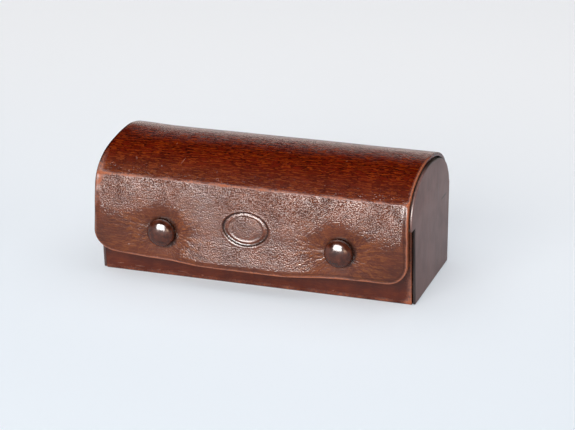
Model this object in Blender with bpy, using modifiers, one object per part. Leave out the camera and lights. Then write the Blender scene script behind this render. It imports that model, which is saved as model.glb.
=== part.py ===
"""Small leather accessory case: a lined board box with an arched lid and a press stud flap.

Metres, +Z up. +X runs along the case and -Y faces the front. The origin is the middle of the base.
Sections are worked out in the Y, Z plane. Along every section path the outside lies on the right.
"""
import math

import bmesh
import bpy
from mathutils import Matrix, Vector

# Outside of the box
CASE_LENGTH = 0.140
BASE_DEPTH = 0.056
FOOT_RADIUS = 0.0025
FRONT_LEAN = math.radians(5.0)
HINGE_HEIGHT = 0.0375
FRONT_DROP = 0.0025
END_PROUD = 0.0005

# Arch of the lid: its rise over the back fold, its fall to the flap and to the crease
ARCH_RISE = 0.0203
ARCH_FALL = 0.0188
CREASE_FALL = 0.0101
ARCH_PEAK_Y = -0.0064
ARCH_FULLNESS = 2.15
LID_SETBACK = 0.001

# Layers, from the outside in
LEATHER = 0.0018
END_LEATHER = 0.0012
BOARD = 0.0018
LID_BOARD = 0.0010
LINING = 0.0006

# Clearances
GLUE = 0.0003
FOLD_GAP = 0.0003
LID_CLEARANCE = 0.0006
SIDE_CLEARANCE = 0.0006
SEAT = 0.0003

# Edges of the stiffeners and linings, set back from the leather's edges
TOP_SETBACK = 0.0008
LID_BOARD_SETBACK = 0.0035
FLAP_LINING_SETBACK = 0.0016

# Flap
FLAP_BELOW_STUD = 0.0118
FLAP_CORNER = 0.0095

# Press studs, with levels counted outward from the front wall's face
STUD_SPACING = 0.079
STUD_HEIGHT = 0.0236
STUD_FLANGE = 0.0006
STUD_FLANGE_RADIUS = 0.0050
STUD_NECK = 0.0008
STUD_NECK_RADIUS = 0.0021
STUD_FLARE = 0.0010
STUD_CROWN = 0.0009
STUD_BALL_RADIUS = 0.0026
STUD_RUN = 0.0006
SOCKET_FLANGE = 0.0012
SOCKET_FLANGE_RADIUS = 0.0054
SOCKET_WALL = 0.0006
SOCKET_LIP = 0.0002
BALL_CLEARANCE = 0.0003
SPRING_WIRE = 0.0006
SPRING_GRIP = 0.00015
SPRING_CLEARANCE = 0.00015
SPRING_GROOVE = 0.0008
SPRING_OPENING = math.radians(36.0)
CAP_RADIUS = 0.00625
CAP_DOME = 0.0034
CAP_RIM = 0.0006
CAP_CHAMFER = 0.0003
CAP_SHANK_RADIUS = 0.0014
POST_RADIUS = 0.0012
POST_HEAD = 0.0005
POST_HEAD_RADIUS = 0.0045

# Facets
ARCH_STEPS = 24
ARCH_MIN_STEPS = 4
FOOT_STEPS = 4
CORNER_STEPS = 6
ROUND_STEPS = 24
DOME_STEPS = 6
WELD = 1e-6

# Worked out from the sizes above
ARCH_TOP = HINGE_HEIGHT + ARCH_RISE
FLAP_TOP = ARCH_TOP - ARCH_FALL
CREASE_HEIGHT = ARCH_TOP - CREASE_FALL
FRONT_HEIGHT = HINGE_HEIGHT - FRONT_DROP
FLAP_FOOT = STUD_HEIGHT - FLAP_BELOW_STUD
BACK_Y = BASE_DEPTH / 2
LID_HALF = CASE_LENGTH / 2 - LID_SETBACK
BOARD_INSET = LEATHER + GLUE
LINING_INSET = BOARD_INSET + BOARD + GLUE
WALL_STACK = LINING_INSET + LINING
FLAP_STACK = LEATHER + GLUE + LINING
STUD_REACH = SEAT + STUD_FLANGE + STUD_RUN + SOCKET_FLANGE + SEAT
FLAP_STANDOFF = STUD_REACH + FLAP_STACK
END_FACE = CASE_LENGTH / 2 + END_PROUD
END_BOARD_FACE = END_FACE - END_LEATHER - GLUE
END_LINING_FACE = END_BOARD_FACE - BOARD - GLUE
END_INNER_FACE = END_LINING_FACE - LINING
LID_INNER_HALF = END_INNER_FACE - SIDE_CLEARANCE

# Colours as linear red, green, blue, with roughness and metallic
LOOKS = {
    "brown_leather": ((0.105, 0.032, 0.014), 0.45, 0.0),
    "dark_end_leather": ((0.070, 0.042, 0.036), 0.40, 0.0),
    "grey_board": ((0.300, 0.270, 0.220), 0.90, 0.0),
    "lining_cloth": ((0.085, 0.020, 0.022), 0.95, 0.0),
    "brown_enamel": ((0.045, 0.014, 0.010), 0.15, 0.0),
    "brass": ((0.560, 0.390, 0.150), 0.35, 1.0),
}


def clear_scene():
    for obj in list(bpy.data.objects):
        bpy.data.objects.remove(obj, do_unlink=True)


def make_material(name):
    color, roughness, metallic = LOOKS[name]
    material = bpy.data.materials.new(name)
    material.use_nodes = True
    shader = material.node_tree.nodes["Principled BSDF"]
    shader.inputs["Base Color"].default_value = (*color, 1.0)
    shader.inputs["Roughness"].default_value = roughness
    shader.inputs["Metallic"].default_value = metallic
    return material


def make_collection(name):
    collection = bpy.data.collections.new(name)
    bpy.context.scene.collection.children.link(collection)
    return collection


def wall_y(height, inset=0.0):
    """Y of the leaning front wall at a height, set in square from its outer face."""
    return -BASE_DEPTH / 2 - height * math.tan(FRONT_LEAN) + inset / math.cos(FRONT_LEAN)


def flap_y(height, inset=0.0):
    """Y of the flap, which hangs parallel to the front wall, set in from its outer face."""
    return wall_y(height, inset - FLAP_STANDOFF)


def fillet(before, corner, after, radius):
    """Points of the arc that rounds a corner, or the corner itself where the radius is used up."""
    if radius <= 0.0:
        return [corner]
    to_before = (before - corner).normalized()
    to_after = (after - corner).normalized()
    half_angle = to_before.angle(to_after) / 2
    centre = corner + (to_before + to_after).normalized() * radius / math.sin(half_angle)
    reach = radius / math.tan(half_angle)
    first = (corner + to_before * reach - centre).normalized()
    last = (corner + to_after * reach - centre).normalized()
    return [centre + first.slerp(last, i / FOOT_STEPS) * radius for i in range(FOOT_STEPS + 1)]


def trough_path(inset, front_height, back_height):
    """Section of the box from the front wall's top, under the bottom, to the back wall's top."""
    front_top = Vector((wall_y(front_height, inset), front_height))
    front_foot = Vector((wall_y(inset, inset), inset))
    back_foot = Vector((BACK_Y - inset, inset))
    back_top = Vector((BACK_Y - inset, back_height))
    radius = FOOT_RADIUS - inset
    front_arc = fillet(front_top, front_foot, back_foot, radius)
    back_arc = fillet(front_foot, back_foot, back_top, radius)
    return [front_top, *front_arc, *back_arc, back_top]


def arch_point(turn):
    """Point on the lid's outer section: 0 at the back fold, pi / 2 at the top, pi at the flap."""
    across = abs(math.cos(turn)) ** (2 / ARCH_FULLNESS)
    rise = max(math.sin(turn), 0.0) ** (2 / ARCH_FULLNESS)
    if turn < math.pi / 2:
        side_y, side_height = BACK_Y, HINGE_HEIGHT
    else:
        side_y, side_height = flap_y(FLAP_TOP), FLAP_TOP
    y = ARCH_PEAK_Y + (side_y - ARCH_PEAK_Y) * across
    return Vector((y, side_height + (ARCH_TOP - side_height) * rise))


def back_turn(height):
    share = (height - HINGE_HEIGHT) / (ARCH_TOP - HINGE_HEIGHT)
    return math.asin(share ** (ARCH_FULLNESS / 2))


def front_turn(height):
    share = (height - FLAP_TOP) / (ARCH_TOP - FLAP_TOP)
    return math.pi - math.asin(share ** (ARCH_FULLNESS / 2))


def arch_path(start, stop):
    steps = max(ARCH_MIN_STEPS, round(ARCH_STEPS * (stop - start) / math.pi))
    return [arch_point(start + (stop - start) * i / steps) for i in range(steps + 1)]


def inset_path(path, inset):
    """Move a path evenly to its left, which is the inside."""
    moved = []
    for i, point in enumerate(path):
        runs = []
        if i > 0:
            runs.append((point - path[i - 1]).normalized())
        if i < len(path) - 1:
            runs.append((path[i + 1] - point).normalized())
        normals = [Vector((-run.y, run.x)) for run in runs]
        middle = sum(normals, Vector((0.0, 0.0))).normalized()
        moved.append(point + middle * inset / middle.dot(normals[0]))
    return moved


def layer(path, inset, thickness):
    """Closed outline of one layer that lies a given inset under a path."""
    outer = inset_path(path, inset)
    inner = inset_path(path, inset + thickness)
    return [*outer, *reversed(inner)]


def front_slab(inset, thickness, foot, top):
    """Closed outline of a flat layer of the leaning front wall."""
    deep = inset + thickness
    corners = [(top, inset), (foot, inset), (foot, deep), (top, deep)]
    return [Vector((wall_y(height, depth), height)) for height, depth in corners]


def back_slab(inset, thickness, foot, top):
    """Closed outline of a flat layer of the upright back wall."""
    deep = inset + thickness
    corners = [(foot, inset), (top, inset), (top, deep), (foot, deep)]
    return [Vector((BACK_Y - depth, height)) for height, depth in corners]


def floor_slab(inset, thickness):
    """Closed outline of a flat layer of the bottom, which the walls stand on."""
    top = inset + thickness
    return trough_path(inset, top, top)


def floor_inlay(low, high, edge):
    """Closed outline of a flat layer laid on the floor last, up against the wall linings."""
    front = [Vector((wall_y(height, edge), height)) for height in (high, low)]
    back = [Vector((BACK_Y - edge, height)) for height in (low, high)]
    return front + back


def end_outline(wall_inset, arch_inset):
    """Tombstone outline of an end panel, with a shoulder over the front wall's top edge."""
    shoulder = FRONT_HEIGHT + GLUE
    arch = inset_path(arch_path(0.0, math.pi), arch_inset)
    outline = trough_path(wall_inset, shoulder, HINGE_HEIGHT)
    outline += [point for point in arch[1:-1] if point.y > shoulder]
    if FLAP_TOP > shoulder:
        outline.append(Vector((flap_y(FLAP_TOP, arch_inset), FLAP_TOP)))
    outline.append(Vector((flap_y(shoulder, arch_inset), shoulder)))
    return outline


class Case:
    """Builds the named pieces and keeps them in their collections."""

    def __init__(self):
        self.parts = make_collection("leather_accessory_case")
        self.cutters = make_collection("cutters")
        self.materials = {name: make_material(name) for name in LOOKS}

    def finish(self, obj, material, pivot):
        for collection in list(obj.users_collection):
            collection.objects.unlink(obj)
        self.parts.objects.link(obj)
        obj.data.materials.clear()
        obj.data.materials.append(self.materials[material])
        if pivot is not None:
            obj.parent = pivot
            obj.matrix_parent_inverse = Matrix.Translation(pivot.location).inverted()
        return obj

    def pivot(self, name, point):
        empty = bpy.data.objects.new(name, None)
        empty.location = (0.0, point.x, point.y)
        self.parts.objects.link(empty)
        return empty

    def bar(self, name, outline, x_range, material, pivot=None):
        """A section outline in the Y, Z plane, filled and drawn out along X."""
        low, high = x_range
        curve = bpy.data.curves.new(name, "CURVE")
        curve.dimensions = "2D"
        curve.fill_mode = "BOTH"
        curve.extrude = (high - low) / 2
        spline = curve.splines.new("POLY")
        spline.points.add(len(outline) - 1)
        for slot, point in zip(spline.points, outline):
            slot.co = (point.x, point.y, 0.0, 1.0)
        spline.use_cyclic_u = True
        obj = bpy.data.objects.new(name, curve)
        obj.location = ((low + high) / 2, 0.0, 0.0)
        obj.rotation_euler = (math.pi / 2, 0.0, math.pi / 2)
        return self.finish(obj, material, pivot)

    def solid_bar(self, name, outline, x_range, material, pivot=None):
        """A bar as a welded mesh, so that holes can be cut in it."""
        curve = self.bar(name + "_outline", outline, x_range, material, pivot)
        bpy.context.view_layer.update()
        evaluated = curve.evaluated_get(bpy.context.evaluated_depsgraph_get())
        mesh = bpy.data.meshes.new_from_object(evaluated)
        bm = bmesh.new()
        bm.from_mesh(mesh)
        bmesh.ops.remove_doubles(bm, verts=bm.verts, dist=WELD)
        bm.to_mesh(mesh)
        bm.free()
        obj = bpy.data.objects.new(name, mesh)
        obj.matrix_world = curve.matrix_world
        bpy.data.objects.remove(curve, do_unlink=True)
        return self.finish(obj, material, pivot)

    def sheet(self, name, rows, thickness, material, pivot):
        """A front sheet drawn down row by row, each row a half width at a section point."""
        bm = bmesh.new()
        half, point = rows[0]
        ends = [bm.verts.new((side * half, point.x, point.y)) for side in (-1, 1)]
        edge = bm.edges.new(ends)
        for half, point in rows[1:]:
            drawn = bmesh.ops.extrude_edge_only(bm, edges=[edge])["geom"]
            ends = [item for item in drawn if isinstance(item, bmesh.types.BMVert)]
            for vert in ends:
                vert.co = (math.copysign(half, vert.co.x), point.x, point.y)
            edge = bm.edges.get(ends)
        bmesh.ops.recalc_face_normals(bm, faces=bm.faces)
        bm.faces.ensure_lookup_table()
        if bm.faces[-1].normal.y > 0.0:
            bmesh.ops.reverse_faces(bm, faces=bm.faces)
        mesh = bpy.data.meshes.new(name)
        bm.to_mesh(mesh)
        bm.free()
        obj = bpy.data.objects.new(name, mesh)
        solidify = obj.modifiers.new("thickness", "SOLIDIFY")
        solidify.thickness = thickness
        solidify.offset = -1.0
        solidify.use_even_offset = True
        return self.finish(obj, material, pivot)

    def turned(self, name, profile, frame, material, pivot=None, closed=False):
        """A turned piece from a (radius, level) profile that runs down its outer side."""
        bm = bmesh.new()
        verts = [bm.verts.new((radius, 0.0, level)) for radius, level in profile]
        for a, b in zip(verts, verts[1:]):
            bm.edges.new((a, b))
        if closed:
            bm.edges.new((verts[-1], verts[0]))
        mesh = bpy.data.meshes.new(name)
        bm.to_mesh(mesh)
        bm.free()
        obj = bpy.data.objects.new(name, mesh)
        obj.matrix_world = frame
        screw = obj.modifiers.new("turn", "SCREW")
        screw.steps = ROUND_STEPS
        screw.render_steps = ROUND_STEPS
        screw.use_merge_vertices = True
        screw.merge_threshold = WELD
        screw.use_smooth_shade = True
        return self.finish(obj, material, pivot)

    def ring(self, name, radius, wire, opening, frame, material, pivot):
        """An open ring of round wire."""
        curve = bpy.data.curves.new(name, "CURVE")
        curve.dimensions = "3D"
        curve.bevel_depth = wire / 2
        curve.bevel_resolution = 2
        curve.use_fill_caps = True
        spline = curve.splines.new("POLY")
        spline.points.add(ROUND_STEPS - 1)
        for i, slot in enumerate(spline.points):
            angle = opening / 2 + (2 * math.pi - opening) * i / (ROUND_STEPS - 1)
            slot.co = (radius * math.cos(angle), radius * math.sin(angle), 0.0, 1.0)
        obj = bpy.data.objects.new(name, curve)
        obj.matrix_world = frame
        return self.finish(obj, material, pivot)

    def drill(self, name, radius, low, high, frame, targets):
        """Cut a round hole along a stud's axis through the target pieces."""
        bpy.ops.mesh.primitive_cylinder_add(vertices=ROUND_STEPS, radius=radius, depth=high - low)
        cutter = bpy.context.object
        cutter.name = name
        cutter.matrix_world = frame @ Matrix.Translation((0.0, 0.0, (low + high) / 2))
        for collection in list(cutter.users_collection):
            collection.objects.unlink(cutter)
        self.cutters.objects.link(cutter)
        cutter.hide_render = True
        cutter.display_type = "WIRE"
        for target in targets:
            cut = target.modifiers.new(name, "BOOLEAN")
            cut.operation = "DIFFERENCE"
            cut.solver = "EXACT"
            cut.object = cutter


def flap_rows(half_width, inset, top_turn, foot, corner):
    """Rows of a flap layer: down the end of the arch, then flat, then round the lower corners."""
    rows = [(half_width, point) for point in inset_path(arch_path(top_turn, math.pi), inset)]
    for i in range(CORNER_STEPS + 1):
        angle = math.pi / 2 * i / CORNER_STEPS
        height = foot + corner * (1.0 - math.sin(angle))
        width = half_width - corner * (1.0 - math.cos(angle))
        rows.append((width, Vector((flap_y(height, inset), height))))
    return rows


def dome(radius, base, height):
    """Profile of a dome from its top, which is on the axis, down to its rim."""
    profile = []
    for i in range(DOME_STEPS + 1):
        angle = math.pi / 2 * i / DOME_STEPS
        profile.append((radius * math.sin(angle), base + height * math.cos(angle)))
    return profile


def stud_frame(side):
    """Frame of a press stud: its +Z points out of the front wall's face."""
    place = Vector((side * STUD_SPACING / 2, wall_y(STUD_HEIGHT), STUD_HEIGHT))
    return Matrix.Translation(place) @ Matrix.Rotation(math.pi / 2 + FRONT_LEAN, 4, "X")


def build_box(case):
    inner = (-END_LINING_FACE, END_LINING_FACE)
    lined = (-END_INNER_FACE + GLUE, END_INNER_FACE - GLUE)
    wall_foot = BOARD_INSET + BOARD + GLUE
    front_top = FRONT_HEIGHT - TOP_SETBACK
    back_top = HINGE_HEIGHT - FOLD_GAP - TOP_SETBACK

    strip = trough_path(0.0, FRONT_HEIGHT, HINGE_HEIGHT - FOLD_GAP)
    strip += reversed(trough_path(LEATHER, FRONT_HEIGHT, HINGE_HEIGHT - FOLD_GAP))
    half = CASE_LENGTH / 2
    wrap = case.solid_bar("wrap_leather", strip, (-half, half), "brown_leather")

    case.bar("bottom_board", floor_slab(BOARD_INSET, BOARD), inner, "grey_board")
    front = front_slab(BOARD_INSET, BOARD, wall_foot, front_top)
    front_board = case.solid_bar("front_board", front, inner, "grey_board")
    case.bar("back_board", back_slab(BOARD_INSET, BOARD, wall_foot, back_top), inner, "grey_board")

    floor = floor_inlay(wall_foot, wall_foot + LINING, WALL_STACK + GLUE)
    case.bar("bottom_lining", floor, lined, "lining_cloth")
    front = front_slab(LINING_INSET, LINING, wall_foot, front_top)
    front_lining = case.solid_bar("front_lining", front, lined, "lining_cloth")
    case.bar("back_lining", back_slab(LINING_INSET, LINING, wall_foot, back_top), lined, "lining_cloth")
    return [wrap, front_board, front_lining]


def build_ends(case):
    cover = end_outline(BOARD_INSET, LEATHER + LID_CLEARANCE)
    lining = end_outline(LINING_INSET, LEATHER + LID_CLEARANCE + TOP_SETBACK)
    layers = [
        ("end_leather", cover, END_FACE, END_LEATHER, "dark_end_leather"),
        ("end_board", cover, END_BOARD_FACE, BOARD, "grey_board"),
        ("end_lining", lining, END_LINING_FACE, LINING, "lining_cloth"),
    ]
    for name, outline, face, thickness, material in layers:
        case.bar(name + "_left", outline, (-face, -face + thickness), material)
        case.bar(name + "_right", outline, (face - thickness, face), material)


def build_lid(case, pivot):
    crease = front_turn(CREASE_HEIGHT)
    path = arch_path(0.0, crease)
    path[-1] = path[-1] + (path[-2] - path[-1]).normalized() * FOLD_GAP
    case.bar("lid_leather", layer(path, 0.0, LEATHER), (-LID_HALF, LID_HALF), "brown_leather", pivot)

    start = back_turn(HINGE_HEIGHT + LID_BOARD_SETBACK)
    stop = front_turn(CREASE_HEIGHT + LID_BOARD_SETBACK)
    path = arch_path(start, stop)
    inner = (-LID_INNER_HALF, LID_INNER_HALF)
    case.bar("lid_board", layer(path, BOARD_INSET, LID_BOARD), inner, "grey_board", pivot)
    lining_inset = BOARD_INSET + LID_BOARD + GLUE
    case.bar("lid_lining", layer(path, lining_inset, LINING), inner, "lining_cloth", pivot)


def build_flap(case, pivot):
    rows = flap_rows(LID_HALF, 0.0, front_turn(CREASE_HEIGHT), FLAP_FOOT, FLAP_CORNER)
    leather = case.sheet("flap_leather", rows, LEATHER, "brown_leather", pivot)
    lining_top = front_turn(CREASE_HEIGHT - FLAP_LINING_SETBACK)
    lining_foot = FLAP_FOOT + FLAP_LINING_SETBACK
    lining_corner = FLAP_CORNER - FLAP_LINING_SETBACK
    rows = flap_rows(LID_INNER_HALF, LEATHER + GLUE, lining_top, lining_foot, lining_corner)
    lining = case.sheet("flap_lining", rows, LINING, "lining_cloth", pivot)
    return [leather, lining]


def build_press_stud(case, side_name, side, wall_layers, flap_layers, flap_pivot):
    frame = stud_frame(side)
    flange_top = SEAT + STUD_FLANGE
    neck_top = flange_top + STUD_NECK
    bore = POST_RADIUS + GLUE
    bore_top = neck_top
    stud = dome(STUD_BALL_RADIUS, neck_top + STUD_FLARE, STUD_CROWN)
    stud += [(STUD_NECK_RADIUS, neck_top), (STUD_NECK_RADIUS, flange_top)]
    stud += [(STUD_FLANGE_RADIUS, flange_top), (STUD_FLANGE_RADIUS, SEAT)]
    stud += [(bore, SEAT), (bore, bore_top), (0.0, bore_top)]
    case.turned("stud_" + side_name, stud, frame, "brass")

    head_top = -WALL_STACK - SEAT
    post_top = bore_top - GLUE
    post = [(0.0, post_top), (POST_RADIUS, post_top), (POST_RADIUS, head_top)]
    post += [(POST_HEAD_RADIUS, head_top), (POST_HEAD_RADIUS, head_top - POST_HEAD)]
    post += [(0.0, head_top - POST_HEAD)]
    case.turned("stud_post_" + side_name, post, frame, "brass")

    mouth = STUD_BALL_RADIUS + BALL_CLEARANCE
    barrel = mouth + SOCKET_WALL
    spring_hole = STUD_BALL_RADIUS - SPRING_GRIP
    groove = spring_hole + SPRING_WIRE + SPRING_CLEARANCE
    foot = flange_top + STUD_RUN
    seat = foot + SOCKET_FLANGE
    leather_face = STUD_REACH + FLAP_STACK
    roof_top = leather_face - SOCKET_WALL
    roof = roof_top - SOCKET_WALL
    shank_hole = CAP_SHANK_RADIUS + GLUE
    groove_foot = foot + SOCKET_LIP
    groove_top = groove_foot + SPRING_GROOVE
    socket = [(barrel, roof_top), (barrel, seat), (SOCKET_FLANGE_RADIUS, seat)]
    socket += [(SOCKET_FLANGE_RADIUS, foot), (mouth, foot), (mouth, groove_foot)]
    socket += [(groove, groove_foot), (groove, groove_top), (mouth, groove_top)]
    socket += [(mouth, roof), (shank_hole, roof), (shank_hole, roof_top)]
    case.turned("socket_" + side_name, socket, frame, "brass", flap_pivot, closed=True)

    spring_level = groove_foot + SPRING_GROOVE / 2
    spring_radius = spring_hole + SPRING_WIRE / 2
    spring_frame = frame @ Matrix.Translation((0.0, 0.0, spring_level))
    case.ring("spring_" + side_name, spring_radius, SPRING_WIRE, SPRING_OPENING, spring_frame,
              "brass", flap_pivot)

    cap_foot = leather_face + SEAT
    shank_foot = roof - GLUE
    cap = dome(CAP_RADIUS, cap_foot + CAP_RIM, CAP_DOME)
    cap += [(CAP_RADIUS - CAP_CHAMFER, cap_foot), (CAP_SHANK_RADIUS, cap_foot)]
    cap += [(CAP_SHANK_RADIUS, shank_foot), (0.0, shank_foot)]
    case.turned("cap_" + side_name, cap, frame, "brown_enamel", flap_pivot)

    case.drill("post_hole_" + side_name, bore, head_top, flange_top, frame, wall_layers)
    case.drill("socket_hole_" + side_name, barrel + GLUE, seat, cap_foot, frame, flap_layers)


def main():
    clear_scene()
    case = Case()
    wall_layers = build_box(case)
    build_ends(case)

    hinge = Vector((BACK_Y + FOLD_GAP / 2, HINGE_HEIGHT - FOLD_GAP / 2))
    lid_pivot = case.pivot("lid_pivot", hinge)
    build_lid(case, lid_pivot)

    crease = front_turn(CREASE_HEIGHT)
    flap_start = arch_path(crease, math.pi)
    run = (flap_start[1] - flap_start[0]).normalized()
    outward = Vector((run.y, -run.x))
    fold = flap_start[0] - run * FOLD_GAP / 2 + outward * FOLD_GAP / 2
    flap_pivot = case.pivot("flap_pivot", fold)
    flap_layers = build_flap(case, flap_pivot)
    for side_name, side in (("left", -1), ("right", 1)):
        build_press_stud(case, side_name, side, wall_layers, flap_layers, flap_pivot)
    print("lid hinge", hinge.to_tuple(6), "flap hinge", fold.to_tuple(6))


main()
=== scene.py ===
import functools
import math

import bpy
import numpy as np
from mathutils import Matrix, Vector, noise


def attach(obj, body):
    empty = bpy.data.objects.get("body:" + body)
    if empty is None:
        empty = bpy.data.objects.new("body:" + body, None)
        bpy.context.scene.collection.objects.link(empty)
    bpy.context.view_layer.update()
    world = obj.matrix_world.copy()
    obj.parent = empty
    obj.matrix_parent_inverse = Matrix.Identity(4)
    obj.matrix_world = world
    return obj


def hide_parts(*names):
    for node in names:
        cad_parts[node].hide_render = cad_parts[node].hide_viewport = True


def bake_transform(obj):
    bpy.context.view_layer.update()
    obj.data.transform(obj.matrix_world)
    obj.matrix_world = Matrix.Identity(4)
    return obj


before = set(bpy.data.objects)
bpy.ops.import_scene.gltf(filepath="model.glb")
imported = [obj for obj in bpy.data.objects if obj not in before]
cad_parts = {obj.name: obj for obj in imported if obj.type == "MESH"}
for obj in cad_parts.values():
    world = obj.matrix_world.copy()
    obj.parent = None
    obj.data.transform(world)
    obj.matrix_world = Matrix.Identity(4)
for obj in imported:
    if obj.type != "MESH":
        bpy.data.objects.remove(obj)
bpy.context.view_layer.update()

MM = 0.001
SIDES = (("left", -1), ("right", 1))

# Sizes of the case, as its solids have them
BODY_HALF = 69.1 * MM
LID_HALF = 69.15 * MM
BACK_Y = 28.0 * MM
FOOT_RADIUS = 1.3 * MM
FRONT_LEAN = math.radians(5.0)
HINGE_HEIGHT = 37.5 * MM
FRONT_HEIGHT = 35.0 * MM
ARCH_TOP = 57.8 * MM
ARCH_PEAK_Y = -6.4 * MM
ARCH_FULLNESS = 2.15
CREASE_HEIGHT = 47.7 * MM
FLAP_TOP = 39.0 * MM
FLAP_FOOT = 11.8 * MM
FLAP_CORNER = 9.5 * MM
FLAP_STANDOFF = 5.7 * MM
LEATHER = 1.8 * MM
END_LEATHER = 1.2 * MM
BOARD = 1.8 * MM
LID_BOARD = 1.0 * MM
LINING = 0.6 * MM
GLUE = 0.3 * MM
LID_CLEARANCE = 0.6 * MM
TOP_SETBACK = 0.8 * MM
LID_BOARD_SETBACK = 3.5 * MM
FLAP_LINING_SETBACK = 1.6 * MM
END_FACE = 70.5 * MM
STUD_X = 39.5 * MM
STUD_HEIGHT = 23.6 * MM

# Layers, counted in from the outer faces
BOARD_INSET = LEATHER + GLUE
LINING_INSET = BOARD_INSET + BOARD + GLUE
LID_LINING_DEPTH = BOARD_INSET + LID_BOARD + GLUE + LINING
FLAP_LINING_DEPTH = LEATHER + GLUE + LINING
END_INNER_FACE = END_FACE - END_LEATHER - BOARD - 2 * GLUE - LINING
LID_INNER_HALF = END_INNER_FACE - LID_CLEARANCE
LINING_EDGE = [0.0, 0.6 * MM, 1.6 * MM]

# How far cut edges are rounded over
STRIP_RIM = 0.45 * MM
FLAP_RIM = 0.1 * MM
COVER_RIM = 0.45 * MM
LINING_RIM = 0.15 * MM

# Where the two leather pieces meet and where the worn fold shows, counted up the strip from the crease
SEAM = 3.2 * MM
FOLD_LINE = -2.0 * MM

# The tooled line along the flap's edge, and steps in from the edge that are close about it, in mm
TOOLED_AT = 1.45
TOOLED_STEPS = (0.3, 0.55, 0.85, 1.05, 1.2, 1.33, 1.45, 1.57, 1.7, 1.9, 2.2, 2.6)

# Scuffs in the flat hide: place across, place along, length and width in mm, and turn in degrees.
# Those on the lid are counted up from the crease, those on the wall up from its foot.
LID_SCUFFS = [(-32.0, 8.5, 6.0, 0.9, 75.0), (-53.0, 7.5, 3.5, 1.2, 120.0), (-39.0, 20.0, 2.5, 1.0, 80.0),
              (37.0, 20.0, 1.6, 1.0, 60.0), (11.0, 22.0, 3.0, 0.7, 10.0)]
WALL_SCUFFS = [(-62.0, 3.4, 5.0, 0.8, 4.0), (-53.0, 3.0, 7.0, 0.9, -3.0), (-44.0, 2.4, 3.0, 0.8, 8.0),
               (-33.0, 2.8, 8.0, 0.7, -2.0), (-24.0, 2.2, 2.5, 0.8, 0.0), (35.0, 2.6, 1.5, 1.1, 30.0)]

# Camera fitted to the photograph: turn and rise in degrees, distance and shifts in metres, and the focal
# length in pixels of a photograph this many pixels wide
PHOTO_TURN = 18.37
PHOTO_RISE = 20.04
PHOTO_DISTANCE = 0.9004
PHOTO_SHIFT = (0.00483, 0.02143)
PHOTO_FOCAL = 2044.8
PHOTO_WIDTH = 575
SENSOR = 36.0


# Section of the leather strip


def wall_y(height, inset=0.0):
    """Y of the leaning front wall at a height."""
    return -BACK_Y - height * math.tan(FRONT_LEAN) + inset / math.cos(FRONT_LEAN)


def flap_y(height):
    """Y of the flap's outer face, which hangs parallel to the front wall."""
    return wall_y(height, -FLAP_STANDOFF)


def arch_point(turn):
    """Point of the lid's outer section: 0 at the back fold, pi / 2 at the top, pi at the flap."""
    across = abs(math.cos(turn)) ** (2 / ARCH_FULLNESS)
    rise = max(math.sin(turn), 0.0) ** (2 / ARCH_FULLNESS)
    side_y, foot = (BACK_Y, HINGE_HEIGHT) if turn < math.pi / 2 else (flap_y(FLAP_TOP), FLAP_TOP)
    return ARCH_PEAK_Y + (side_y - ARCH_PEAK_Y) * across, foot + (ARCH_TOP - foot) * rise


def rounded_corner(before, corner, after, radius, steps=8):
    """Points of the arc that rounds a corner of a section."""
    before, corner, after = Vector(before), Vector(corner), Vector(after)
    to_before = (before - corner).normalized()
    to_after = (after - corner).normalized()
    half = to_before.angle(to_after) / 2
    centre = corner + (to_before + to_after).normalized() * radius / math.sin(half)
    reach = radius / math.tan(half)
    first = (corner + to_before * reach - centre).normalized()
    last = (corner + to_after * reach - centre).normalized()
    return [tuple(centre + first.slerp(last, i / steps) * radius) for i in range(steps + 1)]


class Section:
    """A section line in Y and Z with its distance along it and its outward normal, which is on its left."""

    STEP = 0.2 * MM

    def __init__(self, points, smooth=0):
        points = self.evened(np.array(points, float))
        for _ in range(smooth):
            points[1:-1] = (points[:-2] + 2 * points[1:-1] + points[2:]) / 4
        self.points = points
        self.along = self.distances(points)
        run = np.gradient(points, axis=0)
        run /= np.linalg.norm(run, axis=1)[:, None]
        self.normals = np.stack([-run[:, 1], run[:, 0]], axis=1)

    def distances(self, points):
        steps = np.linalg.norm(np.diff(points, axis=0), axis=1)
        return np.concatenate([[0.0], np.cumsum(steps)])

    def evened(self, points):
        along = self.distances(points)
        even = np.linspace(0.0, along[-1], int(along[-1] / self.STEP) + 1)
        return np.stack([np.interp(even, along, points[:, i]) for i in (0, 1)], axis=1)

    def start_from(self, index):
        """Count the distance along the line from one of its points."""
        self.along = self.along - self.along[index]

    def at(self, along, lift):
        """Points at distances along the line, lifted off it along its normal."""
        place = [np.interp(along, self.along, self.points[:, i]) for i in (0, 1)]
        normal = [np.interp(along, self.along, self.normals[:, i]) for i in (0, 1)]
        return place[0] + normal[0] * lift, place[1] + normal[1] * lift


def strip_section():
    """Up the flap, over the lid, down the back, under the bottom and up the front wall."""
    front_foot, back_foot = (wall_y(0.0), 0.0), (BACK_Y, 0.0)
    front_top = (wall_y(FRONT_HEIGHT), FRONT_HEIGHT)
    points = [(flap_y(FLAP_FOOT), FLAP_FOOT)]
    points += [arch_point(turn) for turn in np.linspace(math.pi, 0.0, 240)]
    points += rounded_corner((BACK_Y, HINGE_HEIGHT), back_foot, front_foot, FOOT_RADIUS)
    points += rounded_corner(back_foot, front_foot, front_top, FOOT_RADIUS)
    points.append(front_top)
    line = Section(points, smooth=8)
    line.start_from(int(np.argmax(line.points[:, 1] > CREASE_HEIGHT)))
    return line


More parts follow.
